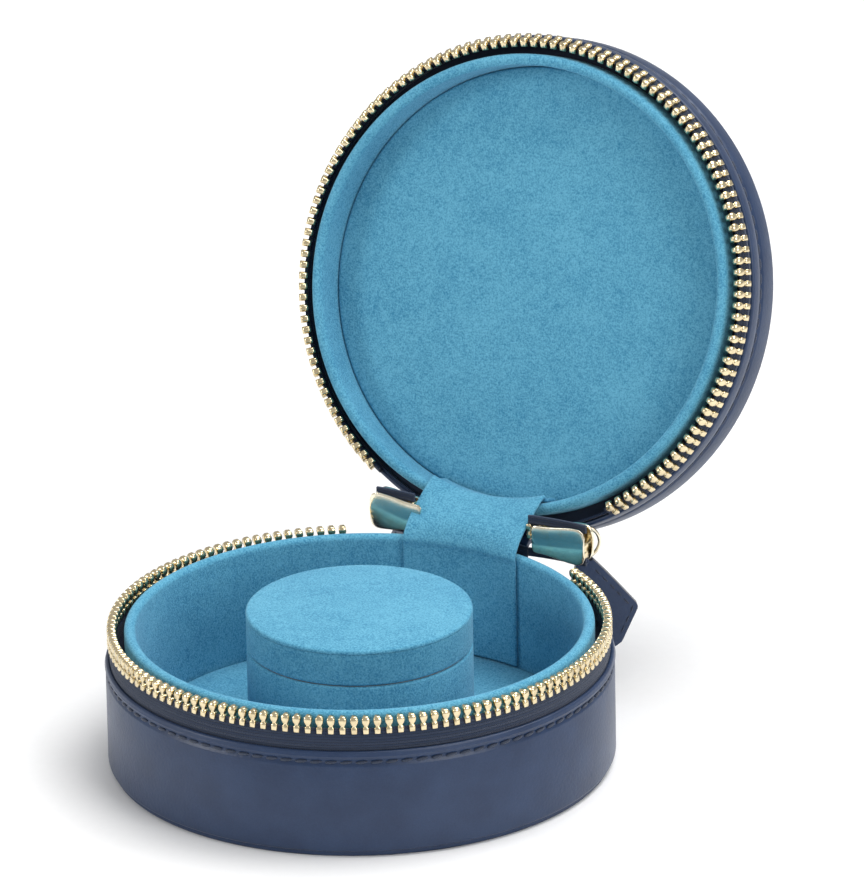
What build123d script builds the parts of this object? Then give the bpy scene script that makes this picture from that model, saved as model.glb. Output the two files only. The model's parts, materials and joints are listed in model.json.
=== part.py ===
from build123d import *
import os
from math import ceil, cos, degrees, radians, sin

os.makedirs("parts", exist_ok=True)

# A round zip-around jewellery case, standing open.  Millimetres, +Z up.
# The origin is the centre of the base's underside, and the hinge is at the back, +Y.

# ---- case ----
case_radius = 57.5        # outside of the leather
leather = 1.2             # leather thickness
shell = 2.6               # stiff shell under the leather
board = 2.0               # boards of the base's floor and the lid's top
base_rim_height = 25.5    # leather rim of the base above the table
base_zip_show = 8.0       # from the base's leather rim up to the parting plane
lid_zip_show = 6.2        # from the parting plane to the lid's leather rim
lid_side = 12.4            # from the lid's leather rim to its outside face
edge_inset = 0.8          # how far the end discs stand inside the side leather
rim_roll = 0.55           # rounding of the leather rims
groove_below_rim = 2.6    # stitch groove below a leather rim
groove_width = 0.9
groove_depth = 0.3
open_angle = 110.0        # how far the lid stands open

# ---- lining ----
lining_card = 1.4         # card inside the lining walls
fabric = 0.6              # thickness of the suede-like fabric
rim_gap = 0.6             # between the two lining rims when the case is closed
rim_round = 0.9           # rounding of the lining rims
skive_depth = 1.2         # the lid's lining is skived where the zipper's tails fold in
skive_height = 3.0
skive_start = 8.0         # reach of the skiving, round from the hinge
skive_end = 31.0
floor_height = 6.0        # top of the base's padded floor
lid_recess = 8.7          # from the parting plane to the edge of the lid's pad
pad_crown = 0.8           # how far the lid's pad swells at its middle
pad_clearance = 0.1       # between a pad and the lining wall

# ---- zipper ----
tape = 0.6                # thickness of the woven tape
tape_sewn = 4.0           # tape hidden behind the leather
pitches = 138             # tooth pitches in a full turn
tooth_length = 3.8
tooth_stem = 1.25         # width of a tooth's stem along the row
tooth_head = 1.75         # width of its rounded head
head_length = 1.5
tooth_depth = 2.1         # size of a tooth through the tape
row_gap = 1.4             # between the tips of the two open rows
tail_angle = 31.7         # the joined tails reach this far round from the hinge
tail_start = 15.3         # the tails start beside the hinge strap
tail_lift = 3.1           # how far the open lid lifts the tails
tail_swing = 22.3         # how far it swings them outward
tail_strip = 0.8          # tape beyond the tails' outermost teeth
mesh_depth = 1.5          # how far joined teeth pass each other
mesh_clearance = 0.12     # between joined teeth
tape_gap = 0.2            # between a tail's tape and the tapes beside it
glue_gap = 0.02           # between the tape and what it is glued between

# ---- sliders ----
park_left = 19.4          # slider centres, round from the hinge, case unzipped
park_right = 24.1
slider_length = 13.6
slider_mouth = 8.8        # height of a slider plate at its mouth
slider_tail = 6.6         # height at its tail
slider_corner = 1.6
plate = 0.7
channel = 3.0             # space between the two plates
post_start = 3.5          # post between the rows, from the slider's middle
post_length = 2.6
post_height = 0.9
crown_offset = 1.5        # crown's middle from the slider's middle
crown_length = 7.2
crown_rise = 2.9          # outside of the crown above the outer plate
crown_width = 1.3
crown_bar = 0.8
ring_radius = 3.8         # to the middle of the wire
ring_wire = 0.9
ring_reach = 1.0          # ring's centre out from the crown bar
ring_drop = 1.8           # and down from it
tab_turn = 54.0           # ring and tab, turned from square to the slider

# ---- pull tabs ----
tab_length = 23.0
tab_width = 17.0          # at the shoulders
tab_foot = 4.0
tab_shoulder = 15.5       # from the loop down to the shoulders
tab_corner = 1.8
tab_layer = 1.0           # thickness of one leather layer
tab_lean = 16.0           # the tab leans out, resting on the case's side
loop_width = 2.4
loop_wall = 0.8
loop_clearance = 0.3      # round the wire

# ---- hinge ----
strap_width = 29.0        # inner fabric strap
strap_thick = 0.9
strap_clearance = 0.25    # between the strap and the lining
spine_width = 25.0        # outer leather spine
spine_thick = 1.1
spine_clearance = 0.15
spine_overlap = 8.0       # sewn over the base's and the lid's leather

# ---- ring box in the middle ----
drum_radius = 25.6
drum_height = 36.6        # edge of its lid's top above the table
drum_lid_height = 9.1
drum_dome = 0.8
drum_card = 1.4
drum_top = 1.2            # thickness of the lid's top card
collar = 1.2
collar_show = 3.6         # how far the collar stands above the box's rim
collar_clearance = 0.25
drum_gap = 0.2            # seam between the box and its lid
drum_round = 0.5

# ---- worked out from the above ----
parting = base_rim_height + base_zip_show
shell_outer = case_radius - leather - tape
shell_inner = shell_outer - shell
lining_inner = shell_inner - lining_card - 2 * fabric
zip_radius = case_radius - leather - tape / 2
disc_radius = case_radius - edge_inset
tooth_tip = row_gap / 2                    # from the parting plane
tooth_root = tooth_tip + tooth_length
lid_depth = lid_zip_show + lid_side
lid_inside = lid_depth - leather - board   # where the lid's lining meets its board
floor_inside = leather + board
pitch_angle = 360.0 / pitches
pitch = radians(pitch_angle) * zip_radius
tail_reach = mesh_depth / 2                # joined teeth pass the middle by this much
tail_root = tooth_length - tail_reach
tail_edge = tooth_root + tail_strip

base_frame = Plane.XY
zip_frame = Plane((0, 0, parting), x_dir=(1, 0, 0), z_dir=(0, 0, 1))
tail_frame = zip_frame.offset(tail_lift)
turn = radians(open_angle)
lid_frame = Plane(
    (0, case_radius * (1 - cos(turn)), parting + case_radius * sin(turn)),
    x_dir=(1, 0, 0),
    z_dir=(0, sin(turn), cos(turn)),
)
hinge_line = Axis((0, case_radius, parting), (1, 0, 0))


def tube(frame, low, high, outer, inner):
    """A straight tube between two heights over a frame, added to the current part."""
    with BuildSketch(frame.offset(low)) as ring:
        Circle(outer)
        Circle(inner, mode=Mode.SUBTRACT)
    extrude(ring.sketch, amount=high - low)


def disc(frame, low, high, radius):
    """A round board between two heights over a frame, added to the current part."""
    with BuildSketch(frame.offset(low)) as face:
        Circle(radius)
    extrude(face.sketch, amount=high - low)


def axis_of(frame):
    """The frame's own axis, for picking and revolving."""
    return Axis(frame.origin, frame.z_dir)


def end_edges(part, frame, end):
    """Round edges at one end of a part: 0 for the lowest along the frame's axis, -1 for the highest."""
    return part.edges().filter_by(GeomType.CIRCLE).group_by(axis_of(frame))[end]


def band_face(frame, height, inner, outer, width):
    """A slice of a ring at the hinge side, as wide as a strap, across a frame's axis."""
    with BuildSketch(frame.offset(height)) as band:
        Circle(outer)
        Circle(inner, mode=Mode.SUBTRACT)
        with Locations((0, outer)):
            Rectangle(width, outer, mode=Mode.INTERSECT)
    return band.sketch


def side_leather(name, frame, rim, end):
    """Leather wall with a rolled rim and a stitch groove, from its rim to the end disc."""
    low, high = min(rim, end), max(rim, end)
    step = 1 if end > rim else -1
    groove = rim + step * groove_below_rim
    with BuildPart() as wall:
        tube(frame, low, high, case_radius, zip_radius + tape / 2)
        fillet(end_edges(wall, frame, 0 if step > 0 else -1), rim_roll)
        outer_end = end_edges(wall, frame, -1 if step > 0 else 0).sort_by(SortBy.RADIUS)[-1]
        fillet(outer_end, rim_roll)
        with BuildSketch(frame.offset(groove - groove_width / 2)):
            Circle(case_radius + groove_depth)
            Circle(case_radius - groove_depth, mode=Mode.SUBTRACT)
        extrude(amount=groove_width, mode=Mode.SUBTRACT)
    finish(wall, name)


def skive(frame):
    """Thins the outer face of the current lining part beside the hinge, at the rim."""
    for start, stop in ((skive_start, skive_end), (-skive_end, -skive_start)):
        with BuildSketch(frame) as sector:
            Circle(case_radius)
            Circle(shell_inner - skive_depth, mode=Mode.SUBTRACT)
            with BuildLine():
                near, far = radians(90 + start), radians(90 + stop)
                reach = 2 * case_radius
                near_corner = (reach * cos(near), reach * sin(near))
                Polyline((0, 0), near_corner, (reach * cos(far), reach * sin(far)), close=True)
            make_face(mode=Mode.INTERSECT)
        extrude(sector.sketch, amount=skive_height, mode=Mode.SUBTRACT)


def lining(name, frame, rim, end, skived=False):
    """Fabric wrapped round a card ring, as two parts: the fabric skin and the card."""
    step = 1 if end > rim else -1
    card_rim = rim + step * fabric
    card_outer, card_inner = shell_inner - fabric, lining_inner + fabric
    with BuildPart() as skin:
        tube(frame, min(rim, end), max(rim, end), shell_inner, lining_inner)
        fillet(end_edges(skin, frame, 0 if step > 0 else -1), rim_round)
        with BuildSketch(frame.offset(min(card_rim, end))):
            Circle(card_outer)
            Circle(card_inner, mode=Mode.SUBTRACT)
        extrude(amount=abs(end - card_rim), mode=Mode.SUBTRACT)
        if skived:
            skive(frame)
    finish(skin, name + "_lining_fabric")
    with BuildPart() as card:
        tube(frame, min(card_rim, end), max(card_rim, end), card_outer, card_inner)
        if skived:
            skive(frame)
    finish(card, name + "_lining_card")


def domed_pad(name, frame, seat, edge, radius, crown, round_over):
    """A padded disc from its seat to its edge height, swelling by crown at the middle."""
    with BuildPart() as pad:
        step = 1 if edge > seat else -1
        with BuildSketch(Plane(frame.origin, x_dir=frame.x_dir, z_dir=-frame.y_dir)):
            with BuildLine():
                top = (0, edge + step * crown)
                shoulder = edge - step * round_over
                Polyline(top, (0, seat), (radius, seat), (radius, shoulder))
                TangentArc((radius, shoulder), (radius - round_over, edge), tangent=(0, step))
                TangentArc(top, (radius - round_over, edge), tangent=(1, 0))
            make_face()
        revolve(axis=axis_of(frame))
    finish(pad, name)


def tooth_solid(stem, head):
    """One zipper tooth at angle 0, root at tooth_root and tip at tooth_tip over the parting plane."""
    with BuildPart() as tooth:
        with BuildSketch(Plane((zip_radius, 0, 0), x_dir=(0, 1, 0), z_dir=(1, 0, 0))):
            with Locations((0, (tooth_root + tooth_tip) / 2)):
                Rectangle(stem, tooth_length)
            if head > stem:
                with Locations((0, tooth_tip + head_length / 2)):
                    RectangleRounded(head, head_length, 0.45 * head_length)
        extrude(amount=tooth_depth / 2, both=True)
    return tooth.part


def row(frame, tooth, first, last):
    """Copies of a tooth from one pitch number to another, counted round from the hinge."""
    count = round(last - first) + 1
    with Locations(frame.location):
        with PolarLocations(0, count, 90 + first * pitch_angle, (count - 1) * pitch_angle, endpoint=True):
            add(tooth)


def arc_strip(frame, low, high, from_angle, to_angle):
    """Tape between two angles counted round from the hinge, added to the current part."""
    reach = 2 * zip_radius
    with BuildSketch(frame.offset(low)) as strip:
        Circle(zip_radius + tape / 2 - glue_gap)
        Circle(zip_radius - tape / 2 + glue_gap, mode=Mode.SUBTRACT)
        with BuildLine():
            corners = [(0, 0)]
            steps = ceil((to_angle - from_angle) / 45)
            for i in range(steps + 1):
                angle = radians(90 + from_angle + (to_angle - from_angle) * i / steps)
                corners.append((reach * cos(angle), reach * sin(angle)))
            Polyline(*corners, close=True)
        make_face(mode=Mode.INTERSECT)
    extrude(strip.sketch, amount=high - low)


def finish(builder, name):
    """Label a piece and write it."""
    builder.part.label = name
    export_step(builder.part, f"parts/{name}.step")


# ---- base: bottom, shell and leather ----
with BuildPart() as base_bottom_leather:
    disc(base_frame, 0, leather, disc_radius)
    fillet(end_edges(base_bottom_leather, base_frame, 0), rim_roll)
finish(base_bottom_leather, "base_bottom_leather")

with BuildPart() as base_floor_board:
    disc(base_frame, leather, floor_inside, shell_inner)
finish(base_floor_board, "base_floor_board")

with BuildPart() as base_shell:
    tube(base_frame, leather, base_rim_height - rim_roll, shell_outer, shell_inner)
finish(base_shell, "base_shell")

side_leather("base_side_leather", base_frame, base_rim_height, leather)
lining("base", base_frame, parting - rim_gap / 2, floor_inside)

with BuildPart() as base_floor_pad:
    disc(base_frame, floor_inside, floor_height, lining_inner - pad_clearance)
    fillet(end_edges(base_floor_pad, base_frame, -1), rim_roll)
finish(base_floor_pad, "base_floor_pad")

# ---- base: zipper tape and teeth ----
tape_outer = zip_radius + tape / 2 - glue_gap
tape_inner = zip_radius - tape / 2 + glue_gap
base_tape_low = base_rim_height - tape_sewn
base_tape_high = parting - tooth_root
tail_tape_low = parting - tail_edge - tape_gap
with BuildPart() as base_zip_tape:
    tube(base_frame, base_tape_low, tail_tape_low, tape_outer, tape_inner)
    arc_strip(base_frame, tail_tape_low, base_tape_high, tail_angle, 360 - tail_angle)
finish(base_zip_tape, "base_zip_tape")

open_tooth = tooth_solid(tooth_stem, tooth_head)
joined_stem = pitch / 2 - mesh_clearance
joined_tooth = tooth_solid(joined_stem, joined_stem)
base_frame_down = Plane((0, 0, parting), x_dir=(-1, 0, 0), z_dir=(0, 0, -1))
base_first = ceil(tail_angle / pitch_angle - 0.5) + 0.5
lid_first = ceil(tail_angle / pitch_angle)
with BuildPart() as base_zip_teeth:
    row(base_frame_down, open_tooth, base_first, pitches - base_first)
finish(base_zip_teeth, "base_zip_teeth")

# ---- lid: top, shell, leather, lining and zipper ----
with BuildPart() as lid_top_leather:
    disc(lid_frame, lid_depth - leather, lid_depth, disc_radius)
    fillet(end_edges(lid_top_leather, lid_frame, -1), rim_roll)
finish(lid_top_leather, "lid_top_leather")

with BuildPart() as lid_top_board:
    disc(lid_frame, lid_inside, lid_depth - leather, shell_inner)
finish(lid_top_board, "lid_top_board")

with BuildPart() as lid_shell:
    tube(lid_frame, lid_zip_show + rim_roll, lid_depth - leather, shell_outer, shell_inner)
finish(lid_shell, "lid_shell")

side_leather("lid_side_leather", lid_frame, lid_zip_show, lid_depth - leather)
lining("lid", lid_frame, rim_gap / 2, lid_inside, skived=True)
domed_pad(
    "lid_pad", lid_frame, lid_inside, lid_recess,
    lining_inner - pad_clearance, pad_crown, rim_roll,
)

with BuildPart() as lid_zip_tape:
    tube(lid_frame, tail_edge + tape_gap, lid_zip_show + tape_sewn, tape_outer, tape_inner)
    arc_strip(lid_frame, tooth_root, tail_edge + tape_gap, tail_angle, 360 - tail_angle)
finish(lid_zip_tape, "lid_zip_tape")

with BuildPart() as lid_zip_teeth:
    row(lid_frame, open_tooth, lid_first, pitches - lid_first)
finish(lid_zip_teeth, "lid_zip_teeth")

# ---- the zipper's joined tails beside the hinge ----
mesh_shift = tooth_tip + tail_reach
tail_tape_end = min(base_first, lid_first) * pitch_angle - degrees((tooth_head / 2 + tape_gap) / zip_radius)
middle_end = tail_start - degrees(2 * tape_gap / zip_radius)


def swung_frame(side):
    """The zipper's frame, lifted and swung out about the end of one tail."""
    end = Vector(side * zip_radius * sin(radians(tail_start)), zip_radius * cos(radians(tail_start)), 0)
    swung = end.rotate(Axis.Z, side * tail_swing)
    across = Vector(1, 0, 0).rotate(Axis.Z, side * tail_swing)
    return Plane(tail_frame.origin + end - swung, x_dir=across, z_dir=(0, 0, 1))


def tail(side, park):
    """The joined teeth of one tail and their tape; side is 1 to the right of the hinge."""
    word = "right" if side > 0 else "left"
    upper = swung_frame(side)
    lower = Plane(upper.origin, x_dir=upper.x_dir * -1, z_dir=upper.z_dir * -1)
    joined_reach = (park + degrees((post_start - pitch / 2) / zip_radius)) / pitch_angle
    lid_start = ceil(tail_start / pitch_angle)
    base_start = ceil(tail_start / pitch_angle - 0.5) + 0.5
    rows = (
        (upper, -side, lid_start, lid_first),
        (lower, side, base_start, base_first),
    )
    with BuildPart() as teeth:
        for frame, way, start, first in rows:
            joined = start + int(joined_reach - start)
            near, far = sorted((way * start, way * joined))
            row(frame.offset(-mesh_shift), joined_tooth, near, far)
            near, far = sorted((way * (joined + 1), way * (first - 1)))
            row(frame, joined_tooth, near, far)
    finish(teeth, f"zip_tail_{word}_teeth")
    with BuildPart() as strip:
        for frame, way, start, first in rows:
            joined = start + int(joined_reach - start) + 0.5
            near, far = sorted((way * tail_start, way * joined * pitch_angle))
            arc_strip(frame, tail_root, tail_edge, near, far)
            near, far = sorted((way * joined * pitch_angle, way * tail_tape_end))
            arc_strip(frame, tooth_root, tail_edge, near, far)
    finish(strip, f"zip_tail_{word}_tape")


tail(-1, park_left)
tail(1, park_right)

tail_frame_down = Plane(tail_frame.origin, x_dir=(-1, 0, 0), z_dir=(0, 0, -1))
with BuildPart() as zip_middle_tape:
    arc_strip(tail_frame_down, tail_root, tail_edge, -middle_end, middle_end)
finish(zip_middle_tape, "zip_middle_tape")

# ---- hinge: fabric strap inside, leather spine outside ----
strap_outer = lining_inner - strap_clearance
strap_inner = strap_outer - strap_thick
with BuildPart() as hinge_strap:
    strap_low = floor_height + strap_clearance
    foot = band_face(base_frame, strap_low, strap_inner, strap_outer, strap_width)
    extrude(foot, amount=parting - strap_low)
    bend = band_face(base_frame, parting, strap_inner, strap_outer, strap_width)
    revolve(bend, axis=hinge_line, revolution_arc=-open_angle)
    head = band_face(lid_frame, 0, strap_inner, strap_outer, strap_width)
    extrude(head, amount=lid_recess - strap_clearance)
finish(hinge_strap, "hinge_strap")

spine_inner = case_radius + spine_clearance
spine_outer = spine_inner + spine_thick
fold_frame = Plane(
    (0, case_radius, parting),
    x_dir=(1, 0, 0),
    z_dir=(0, sin(turn / 2), cos(turn / 2)),
)
with BuildPart() as hinge_spine:
    with BuildSketch(fold_frame) as fold:
        with Locations((0, spine_clearance + spine_thick / 2)):
            Rectangle(spine_width, spine_thick)
    low_end = band_face(
        base_frame, base_rim_height - spine_overlap, spine_inner, spine_outer, spine_width
    )
    extrude(low_end, amount=spine_overlap)
    base_edge = band_face(base_frame, base_rim_height, spine_inner, spine_outer, spine_width)
    loft([base_edge, fold.sketch], ruled=True)
    lid_edge = band_face(lid_frame, lid_zip_show, spine_inner, spine_outer, spine_width)
    loft([fold.sketch, lid_edge], ruled=True)
    extrude(lid_edge, amount=spine_overlap)
finish(hinge_spine, "hinge_spine")

# ---- ring box fixed in the middle, with its collar ----
drum_seam = drum_height - drum_lid_height
drum_card_outer = drum_radius - fabric
drum_card_inner = drum_card_outer - drum_card
collar_outer = drum_card_inner - collar_clearance
with BuildPart() as drum_fabric:
    tube(base_frame, floor_height, drum_seam, drum_radius, drum_card_outer)
    fillet(end_edges(drum_fabric, base_frame, -1).sort_by(SortBy.RADIUS)[-1], drum_round)
finish(drum_fabric, "drum_fabric")

with BuildPart() as drum_wall_card:
    tube(base_frame, floor_height, drum_seam, drum_card_outer, drum_card_inner)
finish(drum_wall_card, "drum_wall_card")

with BuildPart() as drum_floor:
    disc(base_frame, floor_height, floor_height + board, drum_card_inner)
finish(drum_floor, "drum_floor")

with BuildPart() as drum_collar:
    tube(base_frame, floor_height + board, drum_seam - board, drum_card_inner, collar_outer - collar)
    tube(base_frame, drum_seam - board, drum_seam + collar_show, collar_outer, collar_outer - collar)
    chamfer(end_edges(drum_collar, base_frame, -1), 0.4)
finish(drum_collar, "drum_collar")

# ---- the ring box's lift-off lid ----
drum_lid_low = drum_seam + drum_gap
top_card_low = drum_height - drum_top
with BuildPart() as drum_lid_fabric:
    tube(base_frame, drum_lid_low, top_card_low, drum_radius, drum_card_outer)
    fillet(end_edges(drum_lid_fabric, base_frame, 0).sort_by(SortBy.RADIUS)[-1], drum_round)
finish(drum_lid_fabric, "drum_lid_fabric")

with BuildPart() as drum_lid_card:
    tube(base_frame, drum_lid_low, top_card_low, drum_card_outer, drum_card_inner)
finish(drum_lid_card, "drum_lid_card")

with BuildPart() as drum_lid_top_card:
    disc(base_frame, top_card_low - board, top_card_low, drum_card_inner)
finish(drum_lid_top_card, "drum_lid_top_card")

domed_pad("drum_lid_pad", base_frame, top_card_low, drum_height, drum_radius, drum_dome, drum_round)


# ---- sliders and their pulls ----
def slider(side, park):
    """A slider with crown, ring and leather tab; side is 1 to the right of the hinge, -1 to the left."""
    word = "right" if side > 0 else "left"
    frame = swung_frame(side)
    outward = Vector(0, 1, 0).rotate(Axis.Z, side * (tail_swing - park))
    mouthward = Vector(side, 0, 0).rotate(Axis.Z, side * (tail_swing - park))
    middle = frame.origin + outward * zip_radius
    plate_z = outward if side < 0 else outward * -1

    def plate_outline(distance, thickness):
        """A flared plate facing the case's axis, at a distance out from the zipper."""
        with BuildSketch(Plane(middle + outward * distance, x_dir=mouthward, z_dir=plate_z)) as face:
            with BuildLine():
                Polyline(
                    (-slider_length / 2, slider_tail / 2),
                    (slider_length / 8, slider_tail / 2 + 0.25),
                    (slider_length / 2, slider_mouth / 2),
                    (slider_length / 2, -slider_mouth / 2),
                    (slider_length / 8, -slider_tail / 2 - 0.25),
                    (-slider_length / 2, -slider_tail / 2),
                    close=True,
                )
            make_face()
            fillet(face.vertices().group_by(Axis.X)[-1], slider_corner)
            fillet(face.vertices().group_by(Axis.X)[0], slider_corner / 2)
        extrude(face.sketch, amount=thickness)

    with BuildPart() as body:
        for near in (-channel / 2 - plate, channel / 2):
            start = near if side < 0 else near + plate
            plate_outline(start, plate)
        with BuildSketch(Plane(middle + mouthward * post_start, x_dir=outward, z_dir=mouthward)):
            Rectangle(channel + plate, post_height)
        extrude(amount=post_length)
    finish(body, f"slider_{word}_body")

    seat = middle + outward * (channel / 2 + plate) + mouthward * crown_offset
    with BuildPart() as crown:
        with BuildSketch(Plane(seat, x_dir=mouthward, z_dir=(0, 0, side))):
            with Locations((0, crown_rise / 2)):
                RectangleRounded(crown_length, crown_rise, 0.9)
            with Locations((0, crown_rise / 4)):
                Rectangle(crown_length, crown_rise / 2)
            with Locations((0, (crown_rise - crown_bar) / 2)):
                Rectangle(crown_length - 2 * crown_bar, crown_rise - crown_bar, mode=Mode.SUBTRACT)
        extrude(amount=crown_width / 2, both=True)
    finish(crown, f"slider_{word}_crown")

    bar = seat + outward * (crown_rise - crown_bar / 2)
    across = outward.rotate(Axis.Z, -side * tab_turn)
    square = mouthward.rotate(Axis.Z, -side * tab_turn)
    centre = bar + across * ring_reach - Vector(0, 0, ring_drop)
    with BuildPart() as ring:
        with BuildSketch(Plane(centre - Vector(0, 0, ring_radius), x_dir=square, z_dir=across)):
            Circle(ring_wire / 2)
        revolve(axis=Axis(centre, square))
    finish(ring, f"pull_{word}_ring")

    bore = ring_wire / 2 + loop_clearance
    eye = centre - Vector(0, 0, ring_radius + loop_clearance / 2)
    lean = radians(tab_lean)
    down = across * sin(lean) - Vector(0, 0, cos(lean))
    wide = across * cos(lean) + Vector(0, 0, sin(lean))
    tab_plane = Plane(eye, x_dir=wide, z_dir=wide.cross(down * -1))
    with BuildPart() as tab:
        with BuildSketch(tab_plane) as shield:
            with BuildLine():
                Polyline(
                    (-loop_width / 2, -bore),
                    (loop_width / 2, -bore),
                    (tab_width / 2, -tab_shoulder),
                    (tab_foot / 2, -tab_length),
                    (-tab_foot / 2, -tab_length),
                    (-tab_width / 2, -tab_shoulder),
                    close=True,
                )
            make_face()
            fillet(shield.vertices().sort_by(Axis.Y)[:4], tab_corner)
        extrude(amount=tab_layer, both=True)
    finish(tab, f"pull_{word}_tab")
    with BuildPart() as loop:
        with BuildSketch(Plane(eye, x_dir=square, z_dir=across)):
            Circle(bore + loop_wall)
            Circle(bore, mode=Mode.SUBTRACT)
        extrude(amount=loop_width / 2, both=True)
        with BuildSketch(tab_plane):
            with Locations((0, -bore - tab_layer)):
                Rectangle(tab_width, 2 * tab_layer)
        extrude(amount=tab_layer, both=True, mode=Mode.SUBTRACT)
    finish(loop, f"pull_{word}_loop")


slider(-1, park_left)
slider(1, park_right)
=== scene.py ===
import json
import logging
from dataclasses import dataclass
from enum import Enum
from math import atan, ceil, cos, degrees, pi, radians, sin, sqrt, tan
from typing import Callable, Optional, Union

import bpy
from mathutils import Matrix, Vector


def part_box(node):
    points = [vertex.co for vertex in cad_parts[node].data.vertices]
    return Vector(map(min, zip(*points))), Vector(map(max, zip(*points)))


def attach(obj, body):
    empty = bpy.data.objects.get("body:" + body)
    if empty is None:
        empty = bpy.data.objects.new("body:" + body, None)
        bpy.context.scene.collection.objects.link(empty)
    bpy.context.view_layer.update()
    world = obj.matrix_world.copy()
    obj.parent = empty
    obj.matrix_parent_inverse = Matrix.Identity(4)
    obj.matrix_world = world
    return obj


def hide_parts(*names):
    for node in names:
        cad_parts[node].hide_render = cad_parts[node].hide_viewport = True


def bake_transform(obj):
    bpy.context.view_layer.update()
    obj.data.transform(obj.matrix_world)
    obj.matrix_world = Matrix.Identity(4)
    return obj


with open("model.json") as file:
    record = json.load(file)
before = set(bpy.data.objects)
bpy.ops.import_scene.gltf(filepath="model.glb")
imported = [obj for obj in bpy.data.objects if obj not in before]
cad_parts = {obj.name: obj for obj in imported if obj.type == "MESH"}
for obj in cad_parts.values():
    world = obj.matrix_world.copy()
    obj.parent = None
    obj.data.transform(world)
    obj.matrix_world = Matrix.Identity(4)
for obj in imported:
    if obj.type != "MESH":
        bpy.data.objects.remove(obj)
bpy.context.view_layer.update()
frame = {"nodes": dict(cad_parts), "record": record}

MM = 0.001
LOG = logging.getLogger("jewellery_case")
Point = tuple[float, float]


# ---- modelling helpers


def arc(centre: Point, radius: float, start: float, stop: float, steps: int = 6) -> list[Point]:
    """Points of a round stretch of a profile.

    Args:
        centre: radius and height of the arc's centre.
        radius: the arc's own radius.
        start: first angle in degrees, 0 outward and 90 up.
        stop: last angle in degrees.
        steps: how many straight steps stand for the arc.

    Returns:
        The points, as (radius, height).
    """
    found = []
    for i in range(steps + 1):
        angle = radians(start + (stop - start) * i / steps)
        found.append((centre[0] + radius * cos(angle), centre[1] + radius * sin(angle)))
    return found


def active() -> bpy.types.Object:
    """The object that the last operator made or works on."""
    return bpy.context.view_layer.objects.active


def deselect() -> None:
    """Deselects every object."""
    bpy.ops.object.select_all(action="DESELECT")


def pick(piece: bpy.types.Object) -> None:
    """Makes one object the only selected and active one."""
    deselect()
    piece.select_set(True)
    bpy.context.view_layer.objects.active = piece


def tidy_mesh(piece: bpy.types.Object, sharp: float = 35.0) -> bpy.types.Object:
    """Merges doubles, turns faces outward and shades smooth up to an angle in degrees."""
    pick(piece)
    bpy.ops.object.mode_set(mode="EDIT")
    bpy.ops.mesh.select_all(action="SELECT")
    bpy.ops.mesh.remove_doubles(threshold=2e-6)
    bpy.ops.mesh.normals_make_consistent(inside=False)
    bpy.ops.object.mode_set(mode="OBJECT")
    bpy.ops.object.shade_smooth_by_angle(angle=radians(sharp))
    return piece


def place(piece: bpy.types.Object, matrix: Matrix) -> bpy.types.Object:
    """Moves a piece by a matrix and puts the place into its mesh."""
    piece.matrix_world = matrix @ piece.matrix_world
    pick(piece)
    bpy.ops.object.transform_apply(location=True, rotation=True, scale=True)
    return piece


def move(piece: bpy.types.Object, x: float, y: float, z: float) -> bpy.types.Object:
    """Moves a piece by millimetres."""
    return place(piece, Matrix.Translation(Vector((x, y, z)) * MM))


def turn(piece: bpy.types.Object, angle: float, axis: str) -> bpy.types.Object:
    """Turns a piece about an axis through the origin by an angle in degrees."""
    return place(piece, Matrix.Rotation(radians(angle), 4, axis))


def stretch(piece: bpy.types.Object, x: float, y: float, z: float) -> bpy.types.Object:
    """Scales a piece along the axes, from the origin."""
    return place(piece, Matrix.Diagonal((x, y, z, 1)))


def lathe(name: str, profile: list[Point], segments: int = 224) -> bpy.types.Object:
    """Turns a closed profile round the Z axis.

    Args:
        name: the piece's name.
        profile: (radius, height) points in millimetres; the first and last may lie on the axis.
        segments: sides of the turned shape.

    Returns:
        The finished piece.
    """
    deselect()
    least = 1e-4
    radius, height = max(profile[0][0], least), profile[0][1]
    bpy.ops.mesh.primitive_circle_add(vertices=segments, radius=radius * MM, location=(0, 0, 0))
    piece = active()
    piece.name = name
    bpy.ops.object.mode_set(mode="EDIT")
    bpy.ops.mesh.select_all(action="SELECT")
    bpy.ops.transform.translate(value=(0, 0, height * MM))
    for next_radius, next_height in profile[1:]:
        next_radius = max(next_radius, least)
        rise = (next_height - height) * MM
        bpy.ops.mesh.extrude_edges_move(TRANSFORM_OT_translate={"value": (0, 0, rise)})
        grow = next_radius / radius
        if grow != 1:
            bpy.ops.transform.resize(value=(grow, grow, 1), center_override=(0, 0, next_height * MM))
        radius, height = next_radius, next_height
    bpy.ops.object.mode_set(mode="OBJECT")
    return tidy_mesh(piece)


def closed(profile: list[Point]) -> list[Point]:
    """The profile with its first point again at its end, for a ring."""
    return profile + [profile[0]]


def ring_copies(piece: bpy.types.Object, count: int, step: float, centre: Vector) -> bpy.types.Object:
    """Repeats a piece round a vertical axis, as one mesh.

    Args:
        piece: the first copy, where it belongs.
        count: how many there are.
        step: the angle between two in degrees, seen from above, anticlockwise.
        centre: a point on the axis.

    Returns:
        The piece with all its copies.
    """
    spin = Matrix.Translation(centre) @ Matrix.Rotation(radians(step), 4, "Z") @ Matrix.Translation(-centre)
    guide = bpy.data.objects.new("guide", None)
    bpy.context.scene.collection.objects.link(guide)
    guide.matrix_world = spin
    pick(piece)
    copies = piece.modifiers.new("copies", "ARRAY")
    copies.use_relative_offset = False
    copies.use_object_offset = True
    copies.offset_object = guide
    copies.count = count
    bpy.context.view_layer.update()
    bpy.ops.object.modifier_apply(modifier=copies.name)
    bpy.data.objects.remove(guide)
    return piece


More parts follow.
